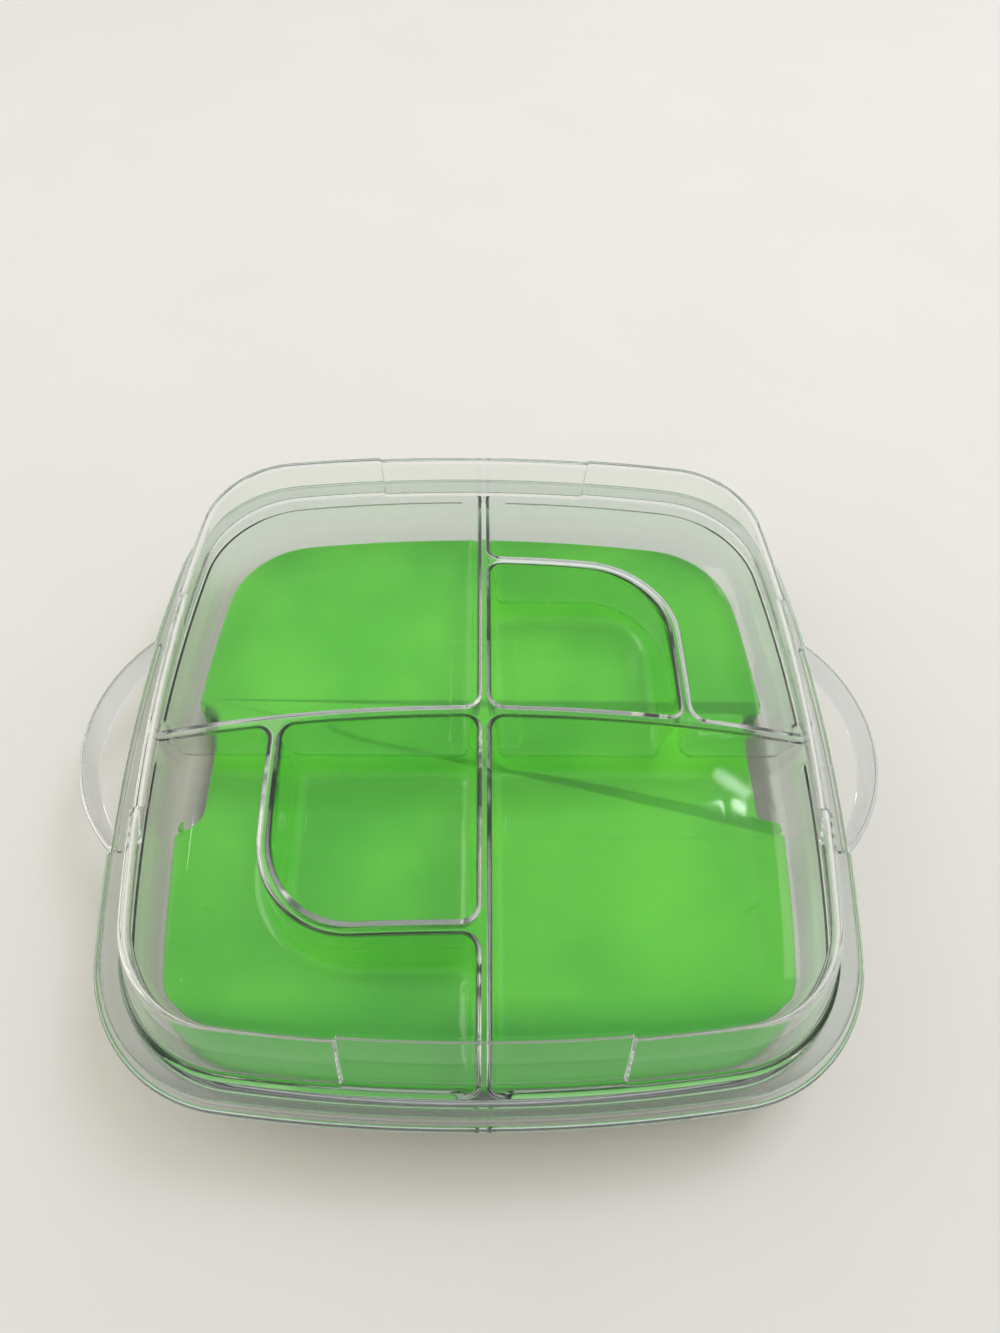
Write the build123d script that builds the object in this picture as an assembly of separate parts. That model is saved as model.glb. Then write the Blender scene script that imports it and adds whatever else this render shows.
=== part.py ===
from build123d import *
import math
import os

os.makedirs("parts", exist_ok=True)

# Chip and dip server: clear base tray, freezer pack, clear divided insert, clear lid.
# Millimetres, +Z up, the table at z = 0, the centre of the server on the Z axis.
# The handles are on +X and -X, the front is -Y.

# ---- plan outline: a rounded square with bowed sides ----
REF_HALF = 150.0        # half size of the insert's opening at its rim
SIDE_R = 740.0          # radius of the bowed sides at REF_HALF
CORNER_R = 53.0         # radius of the corners at REF_HALF

# ---- heights ----
FOOT_H = 2.5
BASE_FLOOR_TOP = 5.0
PACK_T = 14.0
PACK_GAP = 0.3          # between the freezer pack and the insert's floor
WALL = 2.2
PACK_TOP = BASE_FLOOR_TOP + PACK_T
FLOOR_TOP = PACK_TOP + PACK_GAP + WALL
INSERT_DEPTH = 29.5
RIM_Z = FLOOR_TOP + INSERT_DEPTH
LEDGE_Z = RIM_Z - 8.0   # where a step in the insert's wall rests on the tray
LID_SEAT = RIM_Z
LID_H = 39.0
LID_TOP = RIM_Z + LID_H

# ---- base tray ----
BASE_INNER_LOW = 147.5
BASE_INNER_HIGH = 151.0
RIM_T = 2.0             # thickness of the flat rim round the tray
LIP_LOW = 160.0         # half size of the leaning lip's outside at its foot
LIP_HIGH = 163.0
LIP_TOP = RIM_Z - 4.5
LIP_T = 2.6             # thickness of the lip and the handles, measured level
FOOT_OUTER = 134.0
FOOT_INNER = 128.0
HANDLE_REACH = 183.5    # outermost point of a handle, at its upper edge
HANDLE_LEAN = 5.0       # how much further in its lower edge is
HANDLE_HALF = 55.0      # half the length over which a handle meets the rim
HANDLE_ROOT = 158.0     # distance of a handle's ends from the middle
HANDLE_LOW = RIM_Z - 14.0
HANDLE_TOP = RIM_Z - 3.5

# ---- freezer pack ----
PACK_HALF = 144.5
PACK_SKIN = 1.8
PACK_EDGE_R = 3.0
NOTCH_HALF = 33.0
NOTCH_DEPTH = 13.0
PLUG_R = 8.0
PLUG_Y = -118.0
PLUG_T = 1.6

# ---- divided insert ----
INSERT_FLANGE = 158.8
FLOOR_HALF = 145.0      # half size of the pockets where the walls reach the floor
STEP_HALF = 148.5       # half size of the pockets just below the step in the outer wall
STEP_T = 2.0            # height of the step's shelf
COVE_R = 20.0           # cove between the outer wall and the floor
RIDGE_TOP = 3.1         # half width of a divider at its highest
RIDGE_FOOT = 5.4        # half width of a divider at the floor
RIDGE_COVE = 6.0
ARCH = 24.5             # height of the dividers' arch above the rim
ARCH_REACH = 145.5      # distance from the middle at which the arch meets the rim
CUP_HALF = 92.0         # centre line of a dip cup's own walls
CUP_CORNER = 40.0
CUP_FOOT_CORNER = 24.0  # corner radius inside a dip cup at its floor, before the cove
DRAFT_TOP = RIM_Z + 30.0
INNER_CORNER_R = 8.0

# ---- lid ----
LID_FLANGE = 158.8
LID_T = 2.0
LID_LOW = 150.0
LID_HIGH = 141.0
LID_EDGE_R = 5.0
GRIP_HALF = 53.0
GRIP_STEP = 1.2
MEDAL_W = 29.0          # the plain raised panel in the middle of the lid
MEDAL_L = 52.0
MEDAL_CORNER = 3.0
MEDAL_STEP = 0.9


def corner_centre():
    """Distance from both centre planes to the corner arcs' centre."""
    reach = SIDE_R - REF_HALF
    span = SIDE_R - CORNER_R
    return (-2 * reach + math.sqrt(8 * span**2 - 4 * reach**2)) / 4


def polar(cx, cy, radius, angle):
    return cx + radius * math.cos(angle), cy + radius * math.sin(angle)


def turned(point, quarter):
    """The plan point turned by whole quarters about the Z axis."""
    x, y = point
    for _ in range(quarter):
        x, y = -y, x
    return x, y


def outline(half, z=0.0):
    """Wire of the rounded square, an exact offset of the one at REF_HALF."""
    inset = REF_HALF - half
    c = corner_centre()
    back = SIDE_R - REF_HALF
    split = math.atan2(c, c + back)
    edges = []
    for quarter in range(4):
        side = [polar(-back, 0, SIDE_R - inset, a) for a in (-split, 0, split)]
        angles = (split, math.pi / 4, math.pi / 2 - split)
        corner = [polar(c, c, CORNER_R - inset, a) for a in angles]
        for arc in (side, corner):
            edges.append(ThreePointArc(*[(*turned(p, quarter), z) for p in arc]))
    return Wire(edges)


def drafted(half_low, z_low, half_high, z_high):
    """Rounded-square solid whose half size changes evenly from z_low to z_high."""
    wires = [outline(half_low, z_low), outline(half_high, z_high)]
    return Solid.make_loft(wires, ruled=True)


def straight(half, z_low, z_high):
    return drafted(half, z_low, half, z_high)


def box_between(low, high):
    size = [h - l for l, h in zip(low, high)]
    centre = [(h + l) / 2 for l, h in zip(low, high)]
    return Pos(*centre) * Box(*size)


def bottom_edges(solid, z):
    return [e for e in solid.edges() if abs(e.bounding_box().max.Z - z) < 1e-3]


def top_edges(solid, z):
    return [e for e in solid.edges() if abs(e.bounding_box().min.Z - z) < 1e-3]


def save(shape, name):
    shape.label = name
    export_step(shape, f"parts/{name}.step")


# ---------------------------------------------------------------- base tray

def handle_plan(reach, half, z):
    """Wire of the plan inside one arc through the handle's outermost point."""
    ends = [(HANDLE_ROOT, -half, z), (HANDLE_ROOT, half, z)]
    return Wire([ThreePointArc(ends[0], (reach, 0, z), ends[1]), Line(ends[1], ends[0])])


def handle_block(inset):
    """Leaning block whose curved side is the handle's outside, set in by inset."""
    reach, half = HANDLE_REACH - inset, HANDLE_HALF - inset
    low = handle_plan(reach - HANDLE_LEAN, half - 1.0, HANDLE_LOW)
    return Solid.make_loft([low, handle_plan(reach, half, HANDLE_TOP)], ruled=True)


def lip_block(inset):
    return drafted(LIP_LOW - inset, LEDGE_Z - RIM_T, LIP_HIGH - inset, LIP_TOP)


def lip():
    """Leaning lip, left out where a handle takes its place."""
    span = HANDLE_HALF - LIP_T
    return lip_block(0) - lip_block(LIP_T) - box_between((-200, -span, 0), (200, span, 100))


def handle():
    """Leaning band that leaves the lip, passes round the finger gap and comes back."""
    inside = straight(LIP_LOW - LIP_T, 0, LEDGE_Z - RIM_T) + lip_block(LIP_T)
    return handle_block(0) - handle_block(LIP_T) - inside


def base_tray():
    outer = drafted(BASE_INNER_LOW + WALL, FOOT_H, BASE_INNER_HIGH + WALL, LEDGE_Z)
    outer = fillet(bottom_edges(outer, FOOT_H), 8.0)
    inner = drafted(BASE_INNER_LOW, BASE_FLOOR_TOP, BASE_INNER_HIGH, LEDGE_Z)
    inner = fillet(bottom_edges(inner, BASE_FLOOR_TOP), 2.5)
    rim = straight(LIP_LOW - LIP_T / 2, LEDGE_Z - RIM_T, LEDGE_Z)
    foot = straight(FOOT_OUTER, 0, FOOT_H + 0.5) - straight(FOOT_INNER, 0, FOOT_H)
    tray = outer + rim + lip()
    for side in (0, 180):
        tray += Rot(0, 0, side) * handle()
    return (tray + foot) - inner


# ------------------------------------------------------------- freezer pack

def notch(grow=0.0):
    """Finger notch in the +X side of the pack, rounded at its inner corners."""
    low = (PACK_HALF - NOTCH_DEPTH - grow, -NOTCH_HALF - grow, BASE_FLOOR_TOP - 5)
    high = (PACK_HALF + 30, NOTCH_HALF + grow, PACK_TOP + 5)
    block = box_between(low, high)
    inner = [e for e in block.edges().filter_by(Axis.Z) if e.center().X < PACK_HALF]
    return fillet(inner, 11.0 + grow)


def pack_block(inset, edge_r=0.0):
    z_low, z_high = BASE_FLOOR_TOP + inset, PACK_TOP - inset
    block = straight(PACK_HALF - inset, z_low, z_high)
    if edge_r:
        block = fillet(bottom_edges(block, z_low) + top_edges(block, z_high), edge_r)
    for side in (0, 180):
        block -= Rot(0, 0, side) * notch(inset)
    return block


def plug_disc(radius, z_low, z_high):
    disc = Cylinder(radius, z_high - z_low, align=(Align.CENTER, Align.CENTER, Align.MIN))
    return Pos(0, PLUG_Y, z_low) * disc


def freezer_pack_shell():
    shell = pack_block(0.0, PACK_EDGE_R) - pack_block(PACK_SKIN)
    return shell - plug_disc(PLUG_R, BASE_FLOOR_TOP, BASE_FLOOR_TOP + PACK_SKIN)


def freezer_gel():
    return pack_block(PACK_SKIN)


def fill_plug():
    return plug_disc(PLUG_R, BASE_FLOOR_TOP + PACK_SKIN - PLUG_T, BASE_FLOOR_TOP + PACK_SKIN)


# ----------------------------------------------------------- divided insert

def half_width(z):
    """Half width of a divider at height z, before the cove at its foot."""
    share = (z - FLOOR_TOP) / (RIM_Z + ARCH - FLOOR_TOP)
    return RIDGE_FOOT + (RIDGE_TOP - RIDGE_FOOT) * share


def cup_face(half, corner, z):
    """Square about the Z axis with rounded corners, the plan of both dip cups."""
    return Pos(0, 0, z) * RectangleRounded(2 * half, 2 * half, corner)


def cup_corner(z):
    """Corner radius inside a dip cup at height z, before the cove at its floor."""
    top = CUP_CORNER - half_width(DRAFT_TOP)
    share = (z - FLOOR_TOP) / (DRAFT_TOP - FLOOR_TOP)
    return CUP_FOOT_CORNER + (top - CUP_FOOT_CORNER) * share


def quadrant_block():
    """Everything beyond the dividers' faces in the +X+Y quadrant, coved at the floor."""
    far = 220.0
    wires = []
    for z in (FLOOR_TOP, DRAFT_TOP):
        near = half_width(z)
        middle = (near + far) / 2
        wires.append((Pos(middle, middle, z) * Rectangle(far - near, far - near)).wire())
    block = Solid.make_loft(wires, ruled=True)
    upright = [e for e in block.edges() if e.length < 60 and max(e.center().X, e.center().Y) < 20]
    block = fillet(upright, INNER_CORNER_R)
    foot = [e for e in bottom_edges(block, FLOOR_TOP) if min(e.center().X, e.center().Y) < 30]
    return fillet(foot, RIDGE_COVE)


def bowl():
    """Inside of the insert's outer wall, carried straight up above the rim."""
    step = LEDGE_Z + STEP_T
    low = drafted(FLOOR_HALF, FLOOR_TOP, STEP_HALF, step)
    low = fillet(bottom_edges(low, FLOOR_TOP), COVE_R)
    return low + straight(REF_HALF, step, DRAFT_TOP)


def cup_pocket(quadrant):
    wires = []
    for z in (FLOOR_TOP, DRAFT_TOP):
        wires.append(cup_face(CUP_HALF - half_width(z), cup_corner(z), z).wire())
    cup = Solid.make_loft(wires, ruled=True)
    cup = fillet(bottom_edges(cup, FLOOR_TOP), RIDGE_COVE)
    return cup & quadrant


def cup_keepout():
    """The dip cup with its wall: what the outer compartment has to leave standing."""
    wires = []
    for z in (FLOOR_TOP, DRAFT_TOP):
        grow = half_width(z)
        wires.append(cup_face(CUP_HALF + grow, CUP_CORNER + grow, z).wire())
    return Solid.make_loft(wires, ruled=True)


def insert_pockets():
    quadrant = quadrant_block()
    full = bowl() & quadrant
    cup = cup_pocket(quadrant)
    outer = full - cup_keepout()
    pockets = []
    for side in (0, 180):
        pockets += [Rot(0, 0, side) * cup, Rot(0, 0, side) * outer]
        pockets.append(Rot(0, 0, side + 90) * full)
    return pockets


def dome(drop=0.0):
    """Ball whose top is the arch of the dividers, lowered by drop."""
    radius = (ARCH_REACH**2 + ARCH**2) / (2 * ARCH)
    return Pos(0, 0, RIM_Z + ARCH - radius) * Sphere(radius - drop)


def ridge_hollows():
    """Space under the dividers, open at the bottom, one wall inside every face."""
    heights = (FLOOR_TOP - WALL - 1, RIM_Z + ARCH)
    levels = [(z, half_width(z) - WALL) for z in heights]
    reach = 2 * (FLOOR_HALF - WALL)
    wires = [(Pos(0, 0, z) * Rectangle(reach, 2 * w)).wire() for z, w in levels]
    bar = Solid.make_loft(wires, ruled=True)
    outer = [cup_face(CUP_HALF + w, CUP_CORNER + w, z).wire() for z, w in levels]
    inner = [cup_face(CUP_HALF - w, cup_corner(z) + WALL, z).wire() for z, w in levels]
    ring = Solid.make_loft(outer, ruled=True) - Solid.make_loft(inner, ruled=True)
    corner = box_between((0, 0, 0), (200, 200, 200))
    hollow = bar + Rot(0, 0, 90) * bar
    for side in (0, 180):
        hollow += ring & (Rot(0, 0, side) * corner)
    return hollow & dome(WALL)


def divided_insert():
    low_z = FLOOR_TOP - WALL
    body = drafted(FLOOR_HALF + WALL, low_z, STEP_HALF + WALL, LEDGE_Z)
    body = fillet(bottom_edges(body, low_z), COVE_R + WALL)
    body += straight(REF_HALF + WALL, LEDGE_Z, RIM_Z)
    body += straight(INSERT_FLANGE, RIM_Z - WALL, RIM_Z)
    body += straight(REF_HALF, RIM_Z - 1, DRAFT_TOP) & dome()
    for pocket in insert_pockets():
        body -= pocket
    return body - ridge_hollows()


# ---------------------------------------------------------------------- lid

def lid_block(inset, top):
    """Side wall and top of the lid as one drafted solid, inset from the outside."""
    block = drafted(LID_LOW - inset, LID_SEAT, LID_HIGH - inset, top)
    return fillet(top_edges(block, top), LID_EDGE_R)


def grip_boxes():
    wide = box_between((-GRIP_HALF, -200, 0), (GRIP_HALF, 200, 200))
    return wide + Rot(0, 0, 90) * wide


def lid_shape(inset, top):
    """The lid's block with the four grip panels set in by GRIP_STEP."""
    panels = grip_boxes()
    return (lid_block(inset, top) - panels) + (lid_block(inset + GRIP_STEP, top) & panels)


def medallion(z_low, z_high):
    plan = RectangleRounded(MEDAL_W, MEDAL_L, MEDAL_CORNER)
    return extrude(Pos(0, 0, z_low) * plan, z_high - z_low)


def lid():
    flange = straight(LID_FLANGE, LID_SEAT, LID_SEAT + WALL)
    body = lid_shape(0.0, LID_TOP) + flange - lid_shape(LID_T, LID_TOP - LID_T)
    return body + medallion(LID_TOP - 0.5, LID_TOP + MEDAL_STEP)


save(base_tray(), "base_tray")
save(freezer_pack_shell(), "freezer_pack_shell")
save(freezer_gel(), "freezer_gel")
save(fill_plug(), "fill_plug")
save(divided_insert(), "divided_insert")
save(lid(), "lid")
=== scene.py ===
import logging
import math
from dataclasses import dataclass, field
from enum import Enum
from typing import Callable, Sequence

import bmesh
import bpy
import numpy as np
from mathutils import Matrix, Vector


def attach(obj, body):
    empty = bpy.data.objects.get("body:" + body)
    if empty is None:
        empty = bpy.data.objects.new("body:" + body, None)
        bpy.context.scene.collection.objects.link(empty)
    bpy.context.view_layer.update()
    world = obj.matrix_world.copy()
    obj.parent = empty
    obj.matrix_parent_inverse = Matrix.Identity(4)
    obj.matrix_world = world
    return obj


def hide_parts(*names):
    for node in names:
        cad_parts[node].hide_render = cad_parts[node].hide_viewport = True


log = logging.getLogger("chip_and_dip_server")
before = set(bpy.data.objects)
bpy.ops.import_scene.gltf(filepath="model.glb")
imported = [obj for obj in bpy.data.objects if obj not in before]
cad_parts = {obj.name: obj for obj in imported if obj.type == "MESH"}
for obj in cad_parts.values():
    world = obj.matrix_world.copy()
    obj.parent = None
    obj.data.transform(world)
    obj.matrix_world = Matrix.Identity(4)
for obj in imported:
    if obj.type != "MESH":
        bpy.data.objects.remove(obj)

MM = 0.001
MERGE_MM = 0.02             # mesh points this close become one
SHARP_DEGREES = 38          # edges that turn further than this stay crisp
Point = tuple[float, float]
Loop = np.ndarray           # rows of x and y in plan, in millimetres


# ------------------------------------------------------------------ plan outline

@dataclass(frozen=True)
class Outline:
    """Rounded square with bowed sides; every size is an exact offset of one another.

    All sizes in millimetres.
    """

    half: float = 150.0
    side_r: float = 740.0
    corner_r: float = 53.0

    @property
    def back(self) -> float:
        """Distance from the middle back to the centre of a side arc."""
        return self.side_r - self.half

    @property
    def corner(self) -> float:
        """Distance from both centre planes to the centre of a corner arc."""
        span = self.side_r - self.corner_r
        return (-2 * self.back + math.sqrt(8 * span**2 - 4 * self.back**2)) / 4

    @property
    def split(self) -> float:
        """Angle at which a side arc passes into the corner arc."""
        return math.atan2(self.corner, self.corner + self.back)

    def side(self, half: float, angles: np.ndarray) -> Loop:
        """Points of the +X side arc at these angles.

        Args:
            half: half size of the wanted offset.
            angles: angles about the side arc's centre, in radians.

        Returns:
            One row of x and y for each angle.
        """
        radius = half + self.back
        return np.column_stack([radius * np.cos(angles) - self.back, radius * np.sin(angles)])

    def bend(self, half: float, angles: np.ndarray) -> Loop:
        """Points of the +X+Y corner arc at these angles.

        Args:
            half: half size of the wanted offset.
            angles: angles about the corner arc's centre, in radians.

        Returns:
            One row of x and y for each angle.
        """
        radius = self.corner_r + half - self.half
        circle = np.column_stack([np.cos(angles), np.sin(angles)])
        return self.corner + radius * circle

    def ring(self, half: float, side: np.ndarray, bend: np.ndarray) -> Loop:
        """The whole outline, anticlockwise from the +X side.

        Args:
            half: half size of the wanted offset.
            side: angles sampled on each side arc.
            bend: angles sampled on each corner arc.

        Returns:
            One row of x and y for each point.
        """
        return all_round(np.vstack([self.side(half, side), self.bend(half, bend)]))


def turned(points: Loop, quarters: int) -> Loop:
    """The points turned by whole quarters about the middle.

    Args:
        points: rows that begin with x and y.
        quarters: how many quarter turns, anticlockwise.

    Returns:
        A turned copy.
    """
    out = np.array(points, dtype=float)
    for _ in range(quarters % 4):
        out[:, 0], out[:, 1] = -out[:, 1].copy(), out[:, 0].copy()
    return out


def all_round(quarter: Loop) -> Loop:
    """This quarter's points and the same points turned into the other three."""
    return np.vstack([turned(quarter, n) for n in range(4)])


def across(points: Loop) -> Loop:
    """The plan points mirrored in the diagonal and reversed, so that they still run anticlockwise."""
    return points[::-1][:, ::-1]


def lifted(flat: Loop, z: float) -> np.ndarray:
    """The plan points at this height."""
    return np.column_stack([flat, np.full(len(flat), z)])


def eased(share: np.ndarray) -> np.ndarray:
    """A share from 0 to 1 that starts and ends gently."""
    return share * share * (3 - 2 * share)


def arc_profile(cx: float, cz: float, radius: float, start: float, end: float, steps: int) -> list[Point]:
    """Points of an arc in a section, or in plan.

    Args:
        cx: centre, as a half size.
        cz: centre height, or y in plan.
        radius: radius of the arc.
        start: first angle in degrees, 0 outwards and 90 up.
        end: last angle in degrees.
        steps: number of chords.

    Returns:
        Both coordinates of each point.
    """
    angles = np.radians(np.linspace(start, end, steps + 1))
    return [(cx + radius * math.cos(a), cz + radius * math.sin(a)) for a in angles]


# ------------------------------------------------------------------------ meshes

class MeshBuilder:
    """Collects points and faces in millimetres and makes one closed mesh of them."""

    def __init__(self) -> None:
        """Start with nothing."""
        self.points: list[np.ndarray] = []
        self.faces: list[tuple[int, ...]] = []
        self.count = 0

    def add(self, points: np.ndarray) -> np.ndarray:
        """Store points and return their indices.

        Args:
            points: rows of x, y and z.

        Returns:
            The index of each row.
        """
        start = self.count
        self.points.append(np.asarray(points, dtype=float))
        self.count += len(points)
        return np.arange(start, self.count)

    def loft(self, rings: Sequence[Sequence[int]]) -> None:
        """Join each closed ring of points to the next one with quads.

        Args:
            rings: rows of indices, all the same length.
        """
        for lower, upper in zip(rings, rings[1:]):
            for i in range(len(lower)):
                j = (i + 1) % len(lower)
                self.faces.append((lower[i], lower[j], upper[j], upper[i]))

    def cap(self, loop: Sequence[int], flip: bool = False) -> None:
        """Fill a flat loop with one face.

        Args:
            loop: indices in order.
            flip: whether to turn the face over.
        """
        order = list(loop)
        self.faces.append(tuple(reversed(order) if flip else order))

    def cap_ends(self, rings: Sequence[Sequence[int]]) -> None:
        """Fill the first and the last ring."""
        self.cap(rings[0], flip=True)
        self.cap(rings[-1])

    def build(self, name: str, finish: bpy.types.Material | None = None,
              open_sheet: bool = False) -> bpy.types.Object:
        """Make the object, in metres, with shared points merged and normals outwards.

        Args:
            name: name of the object and its mesh.
            finish: its material, if it keeps one.
            open_sheet: whether open edges are meant.

        Returns:
            The new object, linked into the scene.
        """
        mesh = bpy.data.meshes.new(name)
        points = np.vstack(self.points) * MM
        mesh.from_pydata(points.tolist(), [], [tuple(int(i) for i in f) for f in self.faces])
        work = bmesh.new()
        work.from_mesh(mesh)
        bmesh.ops.remove_doubles(work, verts=work.verts, dist=MERGE_MM * MM)
        bmesh.ops.dissolve_degenerate(work, edges=work.edges, dist=MERGE_MM * MM * 0.5)
        bmesh.ops.recalc_face_normals(work, faces=work.faces)
        open_edges = sum(1 for e in work.edges if not e.is_manifold)
        if open_edges and not open_sheet:
            log.warning("%s has %d open or shared edges", name, open_edges)
        work.to_mesh(mesh)
        work.free()
        if finish:
            mesh.materials.append(finish)
        return link(name, mesh)


def link(name: str, mesh: bpy.types.Mesh) -> bpy.types.Object:
    """Put a mesh into the scene as a smooth-shaded object.

    Args:
        name: name of the object.
        mesh: its mesh.

    Returns:
        The object.
    """
    mesh.name = name
    mesh.polygons.foreach_set("use_smooth", [True] * len(mesh.polygons))
    mesh.set_sharp_from_angle(angle=math.radians(SHARP_DEGREES))
    obj = bpy.data.objects.new(name, mesh)
    bpy.context.scene.collection.objects.link(obj)
    return obj


def evaluated(obj: bpy.types.Object, name: str) -> bpy.types.Object:
    """A plain-mesh copy of what the object's modifiers make; the source is removed.

    Args:
        obj: object with live modifiers.
        name: name of the result.

    Returns:
        The new object.
    """
    graph = bpy.context.evaluated_depsgraph_get()
    graph.update()
    mesh = bpy.data.meshes.new_from_object(obj.evaluated_get(graph))
    bpy.data.objects.remove(obj, do_unlink=True)
    return link(name, mesh)


def combined(base: bpy.types.Object, other: bpy.types.Object, operation: str, name: str) -> bpy.types.Object:
    """Join two closed meshes or cut one with the other; both sources are removed.

    Args:
        base: the mesh that is changed.
        other: the mesh that joins or cuts it.
        operation: UNION or DIFFERENCE.
        name: name of the result.

    Returns:
        The new object.
    """
    modifier = base.modifiers.new("combine", "BOOLEAN")
    modifier.operation, modifier.solver, modifier.object = operation, "EXACT", other
    result = evaluated(base, name)
    bpy.data.objects.remove(other, do_unlink=True)
    return result


# --------------------------------------------------------------------- materials

def linear(code: str) -> tuple[float, float, float, float]:
    """Turn an sRGB hex colour into linear values.

    Args:
        code: six hex digits, with or without a leading #.

    Returns:
        Red, green, blue and an alpha of 1.
    """
    code = code.lstrip("#")
    srgb = [int(code[i:i + 2], 16) / 255 for i in (0, 2, 4)]
    rgb = [c / 12.92 if c <= 0.04045 else ((c + 0.055) / 1.055) ** 2.4 for c in srgb]
    return (rgb[0], rgb[1], rgb[2], 1.0)


def add_node(tree: bpy.types.NodeTree, kind: str, settings: dict | None = None,
             values: dict | None = None, links: dict | None = None) -> bpy.types.Node:
    """Add one node with its settings, constant inputs and incoming links.

    Args:
        tree: tree that gets the node.
        kind: Blender's identifier for the node type.
        settings: attributes to set on the node.
        values: input name or index to constant value.
        links: input name or index to the output socket that feeds it.

    Returns:
        The node.
    """
    node = tree.nodes.new(kind)
    for key, value in (settings or {}).items():
        setattr(node, key, value)
    for key, value in (values or {}).items():
        node.inputs[key].default_value = value
    for key, socket in (links or {}).items():
        tree.links.new(socket, node.inputs[key])
    return node


def new_material(name: str) -> tuple[bpy.types.Material, bpy.types.NodeTree, bpy.types.Node]:
    """An empty node material.

    Args:
        name: its name.

    Returns:
        The material, its tree and its output node.
    """
    material = bpy.data.materials.new(name)
    material.use_nodes = True
    tree = material.node_tree
    tree.nodes.clear()
    return material, tree, add_node(tree, "ShaderNodeOutputMaterial")


@dataclass(frozen=True)
class ClearPlastic:
    """Clear styrene plastic, injection moulded against polished steel.

    To the eye it is glass-like but lighter: bright thin highlights on every rounded edge, grey
    edges where a wall is seen along its length, and faint flow waves that bend reflections.
    """

    name: str
    tint: str = "FDFEFD"
    shade: str = "FFFFFF"       # light that one surface lets through straight on
    edge_shade: str = "EEF0EC"  # and where it is met at a grazing angle
    ior: float = 1.5
    roughness: float = 0.035
    wave_mm: float = 26.0       # length of the flow waves
    wave_height_mm: float = 0.05
    scuff_mm: float = 2.381     # size of the duller and brighter spots

    def make(self) -> bpy.types.Material:
        """Build the material.

        Returns:
            The material.
        """
        material, tree, out = new_material(self.name)
        place = add_node(tree, "ShaderNodeTexCoord").outputs["Object"]
        waves = add_node(tree, "ShaderNodeTexNoise", values={"Scale": 1000 / self.wave_mm, "Detail": 1.0},
                         links={"Vector": place})
        bump = add_node(tree, "ShaderNodeBump",
                        values={"Strength": 0.35, "Distance": self.wave_height_mm * MM},
                        links={"Height": waves.outputs["Fac"]})
        scuffs = add_node(tree, "ShaderNodeTexNoise", values={"Scale": 1000 / self.scuff_mm, "Detail": 3.0},
                          links={"Vector": place})
        rough = add_node(tree, "ShaderNodeMapRange",
                         values={"From Min": 0.35, "From Max": 0.75, "To Min": self.roughness * 0.6,
                                 "To Max": self.roughness * 1.8},
                         links={"Value": scuffs.outputs["Fac"]})
        clear = add_node(tree, "ShaderNodeBsdfPrincipled",
                         values={"Base Color": linear(self.tint), "IOR": self.ior,
                                 "Transmission Weight": 1.0},
                         links={"Roughness": rough.outputs["Result"], "Normal": bump.outputs["Normal"]})
        slant = add_node(tree, "ShaderNodeLayerWeight", values={"Blend": 0.55})
        let_through = add_node(tree, "ShaderNodeMix", settings={"data_type": "RGBA"},
                               values={6: linear(self.shade), 7: linear(self.edge_shade)},
                               links={0: slant.outputs["Facing"]})
        passed = add_node(tree, "ShaderNodeBsdfTransparent", links={"Color": let_through.outputs[2]})
        path = add_node(tree, "ShaderNodeLightPath")
        mix = add_node(tree, "ShaderNodeMixShader",
                       links={0: path.outputs["Is Shadow Ray"], 1: clear.outputs[0], 2: passed.outputs[0]})
        tree.links.new(mix.outputs[0], out.inputs["Surface"])
        return material


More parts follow.
